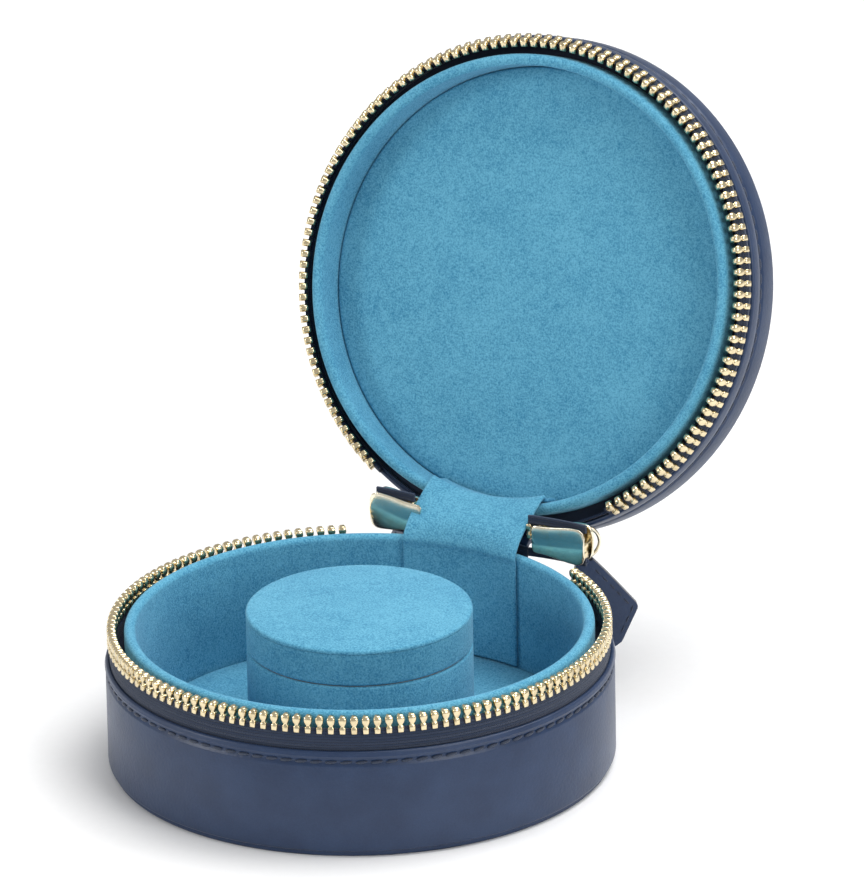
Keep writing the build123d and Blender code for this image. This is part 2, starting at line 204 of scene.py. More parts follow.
def join(name: str, pieces: list[bpy.types.Object]) -> bpy.types.Object:
    """Joins pieces into one of that name."""
    deselect()
    for piece in pieces:
        piece.select_set(True)
    bpy.context.view_layer.objects.active = pieces[0]
    bpy.ops.object.join()
    joined = active()
    joined.name = name
    return joined


def modify(piece: bpy.types.Object, kind: str, **settings) -> bpy.types.Object:
    """Adds a modifier with its settings and applies it."""
    pick(piece)
    modifier = piece.modifiers.new(kind.lower(), kind)
    for key, value in settings.items():
        setattr(modifier, key, value)
    bpy.ops.object.modifier_apply(modifier=modifier.name)
    return piece


def thicken(piece: bpy.types.Object, thick: float) -> bpy.types.Object:
    """Gives a sheet its thickness in millimetres, half to each side."""
    return modify(piece, "SOLIDIFY", thickness=thick * MM, offset=0)


def soften(piece: bpy.types.Object, width: float, segments: int = 2, sharp: float = 50.0) -> bpy.types.Object:
    """Bevels the edges sharper than an angle in degrees, by a width in millimetres."""
    sizes = {"width": width * MM, "segments": segments, "angle_limit": radians(sharp)}
    return modify(piece, "BEVEL", limit_method="ANGLE", **sizes)


def sheet(name: str, columns: int, rows: int, shape: Callable[[float, float], Vector]) -> bpy.types.Object:
    """A flat grid laid along a surface.

    Args:
        name: the piece's name.
        columns: faces across.
        rows: faces along.
        shape: gives the point in millimetres for (across, along), each from 0 to 1.

    Returns:
        The open sheet, without thickness.
    """
    deselect()
    bpy.ops.mesh.primitive_grid_add(x_subdivisions=columns, y_subdivisions=rows, size=2)
    piece = active()
    piece.name = name
    for vertex in piece.data.vertices:
        vertex.co = shape((vertex.co.x + 1) / 2, (vertex.co.y + 1) / 2) * MM
    return piece


def corner(node: str, which: int) -> Vector:
    """A node's lowest (0) or highest (1) corner, in millimetres."""
    return Vector(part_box(node)[which]) / MM


def joint(name: str) -> dict:
    """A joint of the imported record."""
    return next(j for j in frame["record"]["behaviour"]["joints"] if j["name"] == name)


def pivot(name: str) -> Vector:
    """A joint's place in millimetres."""
    return Vector(joint(name)["pos_m"]) / MM


# ---- materials


Number = Union[float, "Value"]


class Value:
    """A shader socket that takes part in arithmetic."""

    def __init__(self, nodes: "Nodes", socket: bpy.types.NodeSocket) -> None:
        """Wraps a socket of the given node tree."""
        self.nodes = nodes
        self.socket = socket

    def maths(self, operation: str, *others: Number, flip: bool = False) -> "Value":
        """Adds a Math node on this value and the others."""
        parts = [self, *others]
        if flip:
            parts.reverse()
        return self.nodes.make("ShaderNodeMath", {"operation": operation}, dict(enumerate(parts)))

    def __add__(self, other: Number) -> "Value":
        """Sum."""
        return self.maths("ADD", other)

    __radd__ = __add__

    def __sub__(self, other: Number) -> "Value":
        """Difference."""
        return self.maths("SUBTRACT", other)

    def __rsub__(self, other: Number) -> "Value":
        """Difference from a number."""
        return self.maths("SUBTRACT", other, flip=True)

    def __mul__(self, other: Number) -> "Value":
        """Product."""
        return self.maths("MULTIPLY", other)

    __rmul__ = __mul__

    def __truediv__(self, other: Number) -> "Value":
        """Quotient."""
        return self.maths("DIVIDE", other)

    def part(self) -> "Value":
        """What is left over after the whole number."""
        return self.maths("FRACT")

    def size(self) -> "Value":
        """Absolute value."""
        return self.maths("ABSOLUTE")

    def step(self, low: float, high: float) -> "Value":
        """Rises smoothly from 0 at low to 1 at high."""
        settings = {"interpolation_type": "SMOOTHSTEP"}
        return self.nodes.make("ShaderNodeMapRange", settings, {0: self, 1: low, 2: high})


class Nodes:
    """One material's node tree."""

    def __init__(self, name: str) -> None:
        """Starts an empty material."""
        self.material = bpy.data.materials.new(name)
        self.material.use_nodes = True
        self.tree = self.material.node_tree
        self.tree.nodes.clear()

    def make(self, kind: str, settings: dict, inputs: dict, output: Union[int, str] = 0) -> Value:
        """Adds a node.

        Args:
            kind: the node's type.
            settings: its properties, which are set first.
            inputs: values or links by input name or number.
            output: which output to give back.

        Returns:
            The chosen output as a value.
        """
        node = self.tree.nodes.new(kind)
        for key, value in settings.items():
            setattr(node, key, value)
        for key, value in inputs.items():
            if isinstance(value, Value):
                self.tree.links.new(value.socket, node.inputs[key])
            elif isinstance(value, tuple) and len(value) == 3 and len(node.inputs[key].default_value) == 4:
                node.inputs[key].default_value = (*value, 1)
            else:
                node.inputs[key].default_value = value
        return Value(self, node.outputs[output] if len(node.outputs) else None)

    def position(self, centre: Vector = Vector(), tilt: float = 0.0) -> Value:
        """Object coordinates, moved to a centre and turned back by a tilt about X in degrees."""
        place = self.make("ShaderNodeTexCoord", {}, {}, "Object")
        if not tilt and not centre.length:
            return place
        inputs = {"Vector": place, "Location": tuple(centre * MM), "Rotation": (radians(tilt), 0, 0)}
        return self.make("ShaderNodeMapping", {"vector_type": "TEXTURE"}, inputs)

    def noise(self, place: Value, grain: float, detail: float = 2.0, rough: float = 0.5) -> Value:
        """Noise from 0 to 1 with spots about as large as grain, in millimetres."""
        inputs = {"Vector": place, "Scale": 1 / (grain * MM), "Detail": detail, "Roughness": rough}
        return self.make("ShaderNodeTexNoise", {}, inputs, 0)

    def cells(self, place: Value, grain: float, feature: str = "F1") -> Value:
        """Distance in cells about as large as grain, in millimetres."""
        inputs = {"Vector": place, "Scale": 1 / (grain * MM)}
        return self.make("ShaderNodeTexVoronoi", {"feature": feature}, inputs, "Distance")

    def blend(self, share: Number, low: Union[tuple, Value], high: Union[tuple, Value]) -> Value:
        """Mixes two colours."""
        settings = {"data_type": "RGBA"}
        return self.make("ShaderNodeMix", settings, {0: share, 6: low, 7: high}, 2)

    def bump(self, height: Value, depth: float, strength: float = 1.0) -> Value:
        """A bump of that depth in millimetres."""
        inputs = {"Height": height, "Distance": depth * MM, "Strength": strength}
        return self.make("ShaderNodeBump", {}, inputs)

    def surface(self, **inputs) -> bpy.types.Material:
        """Ends the material in a Principled shader with these inputs."""
        named = {key.replace("_", " "): value for key, value in inputs.items()}
        shader = self.make("ShaderNodeBsdfPrincipled", {}, named)
        self.make("ShaderNodeOutputMaterial", {}, {"Surface": shader})
        return self.material


@dataclass(frozen=True)
class Suede:
    """Short-pile suede cloth."""

    name: str
    light: tuple = (0.150, 0.445, 0.610)
    dark: tuple = (0.040, 0.215, 0.370)

    def make(self) -> bpy.types.Material:
        """Cloudy stroke marks over a fine pile."""
        nodes = Nodes(self.name)
        place = nodes.position()
        clouds = nodes.noise(place, 14, 3)
        strokes = nodes.noise(place, 2.4, 3, 0.6)
        pile = nodes.noise(place, 0.42, 3, 0.75)
        share = (clouds - 0.5) * 0.45 + (strokes - 0.5) * 0.45 + (pile - 0.5) * 2.6 + 0.56
        height = pile + strokes * 0.4
        return nodes.surface(
            Base_Color=nodes.blend(share.step(0.0, 1.0), self.dark, self.light),
            Roughness=0.95,
            Specular_IOR_Level=0.15,
            Sheen_Weight=0.22,
            Sheen_Roughness=0.4,
            Sheen_Tint=(0.62, 0.84, 1.0),
            Normal=nodes.bump(height, 0.16, 1.0),
        )


@dataclass(frozen=True)
class Leather:
    """Smooth coated leather with a fine grain."""

    name: str
    light: tuple = (0.024, 0.050, 0.118)
    dark: tuple = (0.010, 0.025, 0.068)
    rough: float = 0.36

    def make(self) -> bpy.types.Material:
        """Pebbled grain with soft colour changes and faint scuffs."""
        nodes = Nodes(self.name)
        place = nodes.position()
        pebbles = nodes.cells(place, 0.75, "SMOOTH_F1")
        pores = nodes.noise(place, 0.28, 3, 0.6)
        clouds = nodes.noise(place, 9, 3)
        scuffs = nodes.noise(place, 3.2, 5, 0.7).step(0.56, 0.74)
        share = (clouds - 0.5) * 0.9 + (pores - 0.5) * 0.6 + 0.40
        return nodes.surface(
            Base_Color=nodes.blend(share.step(0.0, 1.0), self.dark, self.light),
            Roughness=(pores - 0.5) * 0.16 + scuffs * 0.10 + self.rough,
            Specular_IOR_Level=0.42,
            Normal=nodes.bump(pebbles * -0.8 + pores * 0.35, 0.07, 0.7),
        )


@dataclass(frozen=True)
class Tape:
    """Woven zipper tape, in a herringbone."""

    name: str
    centre: Vector
    tilt: float = 0.0
    radius: float = 56.0
    rib: float = 1.30
    thread: float = 0.42
    light: tuple = (0.020, 0.044, 0.105)
    dark: tuple = (0.003, 0.007, 0.020)

    def make(self) -> bpy.types.Material:
        """Slanted ribs that turn back at each row."""
        nodes = Nodes(self.name)
        place = nodes.position(self.centre, self.tilt)
        split = {i: nodes.make("ShaderNodeSeparateXYZ", {}, {0: place}, i) for i in range(3)}
        along = split[1].maths("ARCTAN2", split[0]) * self.radius
        across = split[2] / MM
        row = ((across / self.rib).part() - 0.5).size() * 2
        ribs = ((along / self.thread + row * (self.rib / self.thread) * 0.9).part() - 0.5).size() * 2
        seam = row.step(0.0, 0.16) * (1 - row.step(0.86, 1.0))
        fuzz = nodes.noise(nodes.position(), 0.2, 2)
        height = ribs.step(0.0, 0.8) * seam
        share = height * 0.75 + (fuzz - 0.5) * 0.5 + 0.1
        return nodes.surface(
            Base_Color=nodes.blend(share.step(0.0, 1.0), self.dark, self.light),
            Roughness=0.82,
            Specular_IOR_Level=0.25,
            Sheen_Weight=0.2,
            Normal=nodes.bump(height + fuzz * 0.3, 0.12, 0.9),
        )


@dataclass(frozen=True)
class Gold:
    """Polished pale gold plating."""

    name: str
    colour: tuple = (0.80, 0.68, 0.44)
    dull: tuple = (0.50, 0.39, 0.22)
    rough: float = 0.17

    def make(self) -> bpy.types.Material:
        """Slight tarnish and hairline wear."""
        nodes = Nodes(self.name)
        place = nodes.position()
        clouds = nodes.noise(place, 2.2, 3)
        hair = nodes.noise(place, 0.25, 4, 0.7)
        return nodes.surface(
            Base_Color=nodes.blend(clouds.step(0.42, 0.78) * 0.6, self.colour, self.dull),
            Metallic=1.0,
            Roughness=(hair - 0.5) * 0.14 + clouds * 0.08 + self.rough,
            Normal=nodes.bump(hair, 0.006, 0.4),
        )


@dataclass(frozen=True)
class Thread:
    """Twisted sewing thread."""

    name: str
    colour: tuple = (0.006, 0.012, 0.030)
    light: tuple = (0.026, 0.044, 0.090)

    def make(self) -> bpy.types.Material:
        """Fine twist and fuzz."""
        nodes = Nodes(self.name)
        place = nodes.position()
        twist = nodes.noise(place, 0.16, 2, 0.6)
        return nodes.surface(
            Base_Color=nodes.blend(twist.step(0.35, 0.7), self.colour, self.light),
            Roughness=0.6,
            Sheen_Weight=0.2,
            Normal=nodes.bump(twist, 0.05, 0.8),
        )


@dataclass(frozen=True)
class Board:
    """Pressed grey board."""

    name: str
    colour: tuple = (0.40, 0.38, 0.34)

    def make(self) -> bpy.types.Material:
        """Fibres and flecks."""
        nodes = Nodes(self.name)
        place = nodes.position()
        fibre = nodes.noise(place, 0.8, 5, 0.7)
        fleck = nodes.noise(place, 0.3, 2).step(0.62, 0.70)
        paler = tuple(c * 1.2 for c in self.colour)
        darker = tuple(c * 0.7 for c in self.colour)
        base = nodes.blend(fibre, darker, paler)
        return nodes.surface(
            Base_Color=nodes.blend(fleck * 0.5, base, darker),
            Roughness=0.9,
            Normal=nodes.bump(fibre, 0.05, 0.6),
        )


@dataclass(frozen=True)
class EdgePaint:
    """Dark sealed edge of cut leather."""

    name: str
    colour: tuple = (0.012, 0.018, 0.038)

    def make(self) -> bpy.types.Material:
        """A wavy coat, glossy where it is thick."""
        nodes = Nodes(self.name)
        wave = nodes.noise(nodes.position(), 1.2, 3)
        paler = tuple(c * 1.8 for c in self.colour)
        return nodes.surface(
            Base_Color=nodes.blend(wave, self.colour, paler),
            Roughness=wave * 0.2 + 0.25,
            Normal=nodes.bump(wave, 0.05, 0.5),
        )


class Slot(Enum):
    """The record's material slots."""

    LEATHER = "navy_leather"
    SUEDE = "blue_suede"
    BOARD = "grey_card"
    TAPE = "navy_tape"
    GOLD = "gold_metal"


def dress(
    piece: bpy.types.Object,
    material: bpy.types.Material,
    slot: Slot,
    body: Optional[str],
    *nodes: str,
) -> bpy.types.Object:
    """Finishes a piece: its material, body and the CAD nodes it stands for.

    Args:
        piece: the finished mesh.
        material: what it is made of.
        slot: the record's slot; not used.
        body: the CAD body that it rides on, or None to leave it on no body.
        nodes: the CAD nodes that it replaces.

    Returns:
        The piece.
    """
    piece.data.materials.clear()
    piece.data.materials.append(material)
    if nodes:
        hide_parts(*nodes)
    if body:
        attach(piece, body)
    LOG.info("%s: %d faces, on %s", piece.name, len(piece.data.polygons), body or "two bodies")
    return piece


# ---- shared sizes


@dataclass
class Sizes:
    """The case's sizes in millimetres, read from the frame where it holds them."""

    radius: float = corner("base_side_leather", 1).x
    base_rim: float = corner("base_side_leather", 1).z
    lining_outer: float = corner("base_lining_fabric", 1).x
    lining_inner: float = corner("base_floor_pad", 1).x + 0.1
    lining_rim: float = corner("base_lining_fabric", 1).z
    floor: float = corner("base_floor_pad", 1).z
    parting: float = pivot("lid_hinge").z
    tooth_root: float = corner("base_zip_teeth", 0).z
    lid_show: float = 6.2
    lid_depth: float = 18.6
    lid_recess: float = 8.7
    lining_seat: float = 3.3
    leather: float = 1.2
    tape: float = 0.6
    zip_radius: float = 56.0
    pitches: int = 138
    tail_angle: float = 31.7
    open_angle: float = -joint("lid_hinge")["range_deg"][0]

    @property
    def pitch_angle(self) -> float:
        """Angle between two teeth of a row, in degrees."""
        return 360 / self.pitches

    @property
    def lid_matrix(self) -> Matrix:
        """Takes a piece drawn with the lid shut to where the lid stands open."""
        hinge = pivot("lid_hinge") * MM
        swing = Matrix.Rotation(radians(-self.open_angle), 4, "X")
        return Matrix.Translation(hinge) @ swing @ Matrix.Translation(-hinge)

    def tape_profile(self, start: float, stop: float) -> list[Point]:
        """Profile of a ring of tape between two heights."""
        inner = self.zip_radius - self.tape / 2
        outer = inner + self.tape - 0.05
        return closed([(inner, start), (outer, start), (outer, stop), (inner, stop)])

    def lid_point(self, across: float, height: float) -> Vector:
        """A point of the open lid in the plane x = 0, from its closed radius and height over the parting."""
        return self.lid_matrix @ (Vector((0, across, self.parting + height)) * MM) / MM


class Finishes:
    """Every material of the case."""

    def __init__(self, sizes: Sizes) -> None:
        """Makes them once."""
        lid_middle = sizes.lid_point(0, 0)
        self.suede = Suede("blue_suede").make()
        self.leather = Leather("navy_leather").make()
        self.tape = Tape("navy_tape_base", Vector((0, 0, sizes.base_rim))).make()
        self.lid_tape = Tape("navy_tape_lid", lid_middle, -sizes.open_angle).make()
        self.gold = Gold("pale_gold").make()
        self.polished = Gold("polished_gold", (0.90, 0.83, 0.66), (0.76, 0.66, 0.46), 0.13).make()
        self.thread = Thread("navy_thread").make()
        self.board = Board("grey_board").make()
        self.dark_board = Board("navy_board", (0.010, 0.018, 0.040)).make()
        self.edge = EdgePaint("painted_edge").make()


# ---- repeated small pieces


def stitch(length: float, thick: float) -> bpy.types.Object:
    """One stitch along Y at the origin, standing out along X."""
    deselect()
    bpy.ops.mesh.primitive_uv_sphere_add(segments=8, ring_count=5, radius=0.5 * MM)
    piece = active()
    turn(piece, 90, "X")
    stretch(piece, thick, length, thick)
    bpy.ops.object.shade_smooth()
    return piece


def stitch_row(name: str, wall: float, height: float, slant: float) -> bpy.types.Object:
    """Stitches all round a wall's groove at one height, each slanted by an angle in degrees."""
    length, thick, sink, count = 2.7, 0.80, 0.40, 106
    piece = stitch(length, thick)
    turn(piece, slant, "X")
    move(piece, wall - sink, 0, height)
    ring_copies(piece, count, 360 / count, Vector((0, 0, 0)))
    piece.name = name
    return piece


@dataclass
class Tooth:
    """A cast zipper tooth: a square foot that grips the tape, a neck and a rounded head."""

    length: float = 4.1
    foot: float = 1.30
    foot_length: float = 1.45
    neck: float = 0.86
    head: float = 1.72
    depth: float = 2.1

    def build(self) -> bpy.types.Object:
        """Builds it with its root at the origin, pointing up, its depth along X."""
        deselect()
        bpy.ops.mesh.primitive_cube_add(size=1)
        piece = active()
        stretch(piece, self.depth * 0.90, self.foot, self.foot_length)
        place(piece, Matrix.Translation((0, 0, self.foot_length / 2)))
        bpy.ops.object.mode_set(mode="EDIT")
        bpy.ops.mesh.select_mode(type="FACE")
        bpy.ops.mesh.select_all(action="DESELECT")
        bpy.ops.object.mode_set(mode="OBJECT")
        for face in piece.data.polygons:
            face.select = face.normal.z > 0.9
        bpy.ops.object.mode_set(mode="EDIT")
        head_length = self.length - self.foot_length - 0.4
        steps = (
            (0.12, 0.80, self.neck / self.foot),
            (0.28, 1.0, 1.0),
            (0.22 * head_length, 1.32, 0.80 * self.head / self.neck),
            (0.26 * head_length, 1.05, 1 / 0.80),
            (0.28 * head_length, 0.96, 0.94),
            (0.24 * head_length, 0.66, 0.58),
        )
        for rise, deep, wide in steps:
            bpy.ops.mesh.extrude_region_move(TRANSFORM_OT_translate={"value": (0, 0, rise)})
            bpy.ops.transform.resize(value=(deep, wide, 1))
        bpy.ops.object.mode_set(mode="OBJECT")
        place(piece, Matrix.Scale(MM, 4))
        soften(piece, 0.11, 1, 38)
        return tidy_mesh(piece, 50)


def tooth_row(
    name: str, root: float, first: float, last: float, upside: bool, lean: float, sizes: Sizes
) -> bpy.types.Object:
    """A row of teeth round the Z axis.

    Args:
        name: the piece's name.
        root: height of the teeth's roots.
        first: first tooth, in pitches anticlockwise from the hinge, seen from above.
        last: last tooth, in pitches.
        upside: True if the teeth hang down.
        lean: how far the tips lean in from the roots, in degrees.
        sizes: the shared sizes.

    Returns:
        The row as one piece.
    """
    tooth = Tooth()
    piece = tooth.build()
    turn(piece, -lean, "Y")
    if upside:
        turn(piece, 180, "X")
    move(piece, sizes.zip_radius + tooth.length * sin(radians(lean)) * 0.6, 0, root)
    turn(piece, 90 + first * sizes.pitch_angle, "Z")
    ring_copies(piece, round(last - first) + 1, sizes.pitch_angle, Vector((0, 0, 0)))
    piece.name = name
    return piece


# ---- the base


def wall_profile(radius: float, thick: float, rim: float, end: float, groove: float) -> list[Point]:
    """Profile of a leather wall: a turned rim at one height, a soft edge at the other, a stitch groove.

    Args:
        radius: outside of the wall.
        thick: its thickness.
        rim: height of its turned rim.
        end: height where it meets the end disc.
        groove: height of the stitch groove's middle.

    Returns:
        The closed profile.
    """
    way = 1 if rim > end else -1
    roll, soft = thick / 2, 0.9
    inner = radius - thick
    points = [(inner, end), (radius - soft, end)]
    points += arc((radius - soft, end + way * soft), soft, -90 * way, 0, 5)
    for offset, sink in ((1.1, 0), (0.8, 0.1), (0.4, 0.44), (0, 0.56), (-0.4, 0.44), (-0.8, 0.1), (-1.1, 0)):
        points.append((radius - sink, groove - way * offset))
    belly = (groove + way * 1.0 + rim - way * roll) / 2
    points.append((radius + 0.16, belly))
    points += arc((radius - roll, rim - way * roll), roll, 0, 180 * way, 10)
    return closed(points)


def lining_profile(outer: float, inner: float, rim: float, end: float) -> list[Point]:
    """Profile of a lining wall with a soft, padded rim."""
    way = 1 if rim > end else -1
    soft = (outer - inner) / 2
    points = [(outer, end), (outer, rim - way * soft)]
    points += arc((outer - soft, rim - way * soft), soft, 0, 180 * way, 12)
    points += [(inner, rim - way * (soft + 1.5)), (inner, end)]
    return closed(points)


def pad_profile(radius: float, seat: float, edge: float, crown: float, soft: float) -> list[Point]:
    """Profile of a padded disc from its axis down to its seat."""
    way = 1 if edge > seat else -1
    points = []
    for i in range(9):
        share = i / 8
        points.append(((radius - soft) * share, edge + way * crown * (1 - share ** 2)))
    points += arc((radius - soft, edge - way * soft), soft, 90 * way, 0, 5)
    points += [(radius, seat), (0, seat)]
    return points


@dataclass
class Base:
    """The case's lower half."""

    sizes: Sizes
    finishes: Finishes
    stitch_drop: float = 2.6
    tooth_rise: float = 0.5
    band_reach: float = 1.6
    band_swell: float = 0.35
    hidden_tape_top: float = 28.0

    def build(self) -> None:
        """Builds and dresses its pieces."""
        sizes, finishes = self.sizes, self.finishes
        groove = sizes.base_rim - self.stitch_drop
        wall = lathe(
            "base_wall_leather",
            wall_profile(sizes.radius, sizes.leather, sizes.base_rim, sizes.leather, groove),
        )
        dress(wall, finishes.leather, Slot.LEATHER, "base", "base_side_leather")
        bottom_radius = corner("base_bottom_leather", 1).x
        foot = [(0, sizes.leather), (bottom_radius, sizes.leather)]
        foot += arc((bottom_radius - 0.6, 0.6), 0.6, 0, -90, 5) + [(0, 0)]
        dress(lathe("base_foot_leather", foot), finishes.leather, Slot.LEATHER, "base", "base_bottom_leather")
        row = stitch_row("base_stitches", sizes.radius, groove, 7)
        dress(row, finishes.thread, Slot.LEATHER, "base")
        self.zipper()
        self.lining()

    def zipper(self) -> None:
        """Tape and teeth of the base's row."""
        sizes = self.sizes
        low, high = corner("base_zip_tape", 0).z, corner("base_zip_tape", 1).z
        arc_angle = 360 - 2 * sizes.tail_angle

        def shape(across: float, along: float) -> Vector:
            """The exposed band, open behind the tails, swelling a little over the leather's rim."""
            angle = radians(90 + sizes.tail_angle + arc_angle * across)
            height = low + (high + self.band_reach - low) * along
            share = (height - sizes.base_rim + 1) / (high - sizes.base_rim + 2)
            radius = sizes.zip_radius + self.band_swell * sin(pi * min(1.0, max(0.0, share)))
            return Vector((radius * cos(angle), radius * sin(angle), height))

        band = sheet("base_tape", 260, 12, shape)
        thicken(band, sizes.tape)
        short = lathe("base_tape_behind", sizes.tape_profile(low, self.hidden_tape_top))
        dress(tidy_mesh(band), self.finishes.tape, Slot.TAPE, "base", "base_zip_tape")
        dress(short, self.finishes.tape, Slot.TAPE, "base")
        first = ceil(sizes.tail_angle / sizes.pitch_angle - 0.5) + 0.5
        root = sizes.tooth_root + self.tooth_rise
        row = tooth_row("base_teeth", root, first, sizes.pitches - first, False, 2, sizes)
        dress(row, self.finishes.gold, Slot.GOLD, "base", "base_zip_teeth")

    def lining(self) -> None:
        """Suede wall and padded floor."""
        sizes = self.sizes
        seat = sizes.lining_seat
        profile = lining_profile(sizes.lining_outer, sizes.lining_inner, sizes.lining_rim, seat)
        wall = lathe("base_lining", profile)
        dress(wall, self.finishes.suede, Slot.SUEDE, "base", "base_lining_fabric")
        floor = lathe("base_floor", pad_profile(sizes.lining_inner - 0.1, seat, sizes.floor, 0.0, 0.7))
        dress(floor, self.finishes.suede, Slot.SUEDE, "base", "base_floor_pad")


# ---- the ring box


@dataclass
class RingBox:
    """The round box in the middle, with its lift-off lid."""

    sizes: Sizes
    finishes: Finishes
    wall: float = 0.6
    soft: float = 0.7
    fold: float = 1.2
    pad_rise: float = 0.95
    segments: int = 160

    def build(self) -> None:
        """Builds and dresses its pieces."""
        radius = corner("drum_fabric", 1).x
        low, seam = corner("drum_fabric", 0).z, corner("drum_fabric", 1).z
        lid_low, lid_high = corner("drum_lid_fabric", 0).z, corner("drum_lid_fabric", 1).z
        top = corner("drum_lid_pad", 1).z
        inner = radius - self.wall
        side = [(inner, low), (radius, low), (radius, seam - self.soft)]
        side += arc((radius - self.soft, seam - self.soft), self.soft, 0, 80, 5)
        side += [(inner - self.fold, seam), (inner - self.fold, low)]
        body = lathe("ring_box_side", closed(side), self.segments)
        dress(body, self.finishes.suede, Slot.SUEDE, "base", "drum_fabric")
        lid = [(inner, lid_high), (inner, lid_low), (radius - self.soft, lid_low)]
        lid += arc((radius - self.soft, lid_low + self.soft), self.soft, -80, 0, 5)
        lid += [(radius, lid_high - 0.25), (radius - 0.30, lid_high)]
        cover = lathe("ring_box_lid_side", closed(lid), self.segments)
        dress(cover, self.finishes.suede, Slot.SUEDE, "drum_lid", "drum_lid_fabric")
        edge = lid_high + self.pad_rise
        profile = pad_profile(radius + 0.05, lid_high + 0.05, edge, top - edge, 0.75)
        pad = lathe("ring_box_lid_pad", profile, self.segments)
        dress(pad, self.finishes.suede, Slot.SUEDE, "drum_lid", "drum_lid_pad")


# ---- the lid


@dataclass
class Lid:
    """The upper half, drawn shut and then opened."""

    sizes: Sizes
    finishes: Finishes
    stitch_drop: float = 4.4
    crown: float = 0.8
    tooth_lean: float = 26.0
    root_rise: float = 4.5
    band_reach: float = 1.6
    band_flare: float = 0.85

    def build(self) -> None:
        """Builds and dresses its pieces."""
        sizes, finishes = self.sizes, self.finishes
        rim, end = sizes.parting + sizes.lid_show, sizes.parting + sizes.lid_depth
        groove = rim + self.stitch_drop
        wall = lathe(
            "lid_wall_leather",
            wall_profile(sizes.radius, sizes.leather, rim, end - sizes.leather, groove),
        )
        top_radius = sizes.radius - 0.8
        plate = [(0, end - sizes.leather), (top_radius, end - sizes.leather)]
        plate += arc((top_radius - 0.6, end - 0.6), 0.6, 0, 90, 5) + [(0, end)]
        top = lathe("lid_top_skin", plate)
        row = stitch_row("lid_stitches", sizes.radius, groove, -7)
        for piece, material, nodes in (
            (wall, finishes.leather, ("lid_side_leather",)),
            (top, finishes.leather, ("lid_top_leather",)),
            (row, finishes.thread, ()),
        ):
            place(piece, sizes.lid_matrix)
            dress(piece, material, Slot.LEATHER, "lid", *nodes)
        self.zipper()
        self.lining()

    def zipper(self) -> None:
        """Tape and teeth of the lid's row."""
        sizes = self.sizes
        root = sizes.parting + self.root_rise
        high = sizes.parting + sizes.lid_show + 4
        arc_angle = 360 - 2 * sizes.tail_angle

        def shape(across: float, along: float) -> Vector:
            """The exposed band, open behind the tails, leaning with the teeth."""
            angle = radians(90 + sizes.tail_angle + arc_angle * across)
            edge = root - self.band_reach
            height = edge + (high - edge) * along
            bend = root + 0.6
            lean = max(0.0, bend - height) * tan(radians(self.tooth_lean))
            flare = self.band_flare * max(0.0, 1 - abs(height - bend) / 2.6) ** 1.2
            radius = sizes.zip_radius + flare - lean * 0.4
            return Vector((radius * cos(angle), radius * sin(angle), height))

        band = sheet("lid_tape", 260, 14, shape)
        tidy_mesh(thicken(band, sizes.tape))
        behind = lathe("lid_tape_behind", sizes.tape_profile(high, root + 1))
        first = ceil(sizes.tail_angle / sizes.pitch_angle)
        row = tooth_row("lid_teeth", root, first, sizes.pitches - first, True, self.tooth_lean, sizes)
        for piece, material, slot, nodes in (
            (band, self.finishes.lid_tape, Slot.TAPE, ("lid_zip_tape",)),
            (behind, self.finishes.lid_tape, Slot.TAPE, ()),
            (row, self.finishes.gold, Slot.GOLD, ("lid_zip_teeth",)),
        ):
            place(piece, sizes.lid_matrix)
            dress(piece, material, slot, "lid", *nodes)

    def lining(self) -> None:
        """Suede wall and domed pad."""
        sizes = self.sizes
        seat = sizes.parting + sizes.lid_depth - sizes.lining_seat
        profile = lining_profile(sizes.lining_outer, sizes.lining_inner, sizes.parting + 0.3, seat)
        wall = lathe("lid_lining", profile)
        place(wall, sizes.lid_matrix)
        dress(wall, self.finishes.suede, Slot.SUEDE, "lid", "lid_lining_fabric")
        edge = sizes.parting + sizes.lid_recess
        pad = lathe("lid_pad_skin", pad_profile(sizes.lining_inner - 0.1, seat, edge, self.crown, 0.9))
        place(pad, sizes.lid_matrix)
        dress(pad, self.finishes.suede, Slot.SUEDE, "lid", "lid_pad")


# ---- the hinge


def smooth_path(points: list[Vector], share: float) -> Vector:
    """A point along a smooth line that starts and ends at the outer points, at a share from 0 to 1."""
    count = len(points) - 1
    at = min(int(share * count), count - 1)
    t = share * count - at
    before, start = points[max(at - 1, 0)], points[at]
    stop, after = points[at + 1], points[min(at + 2, count)]
    pull_in, pull_out = (stop - before) / 2, (after - start) / 2
    return (
        start * (2 * t ** 3 - 3 * t ** 2 + 1)
        + pull_in * (t ** 3 - 2 * t ** 2 + t)
        + stop * (3 * t ** 2 - 2 * t ** 3)
        + pull_out * (t ** 3 - t ** 2)
    )


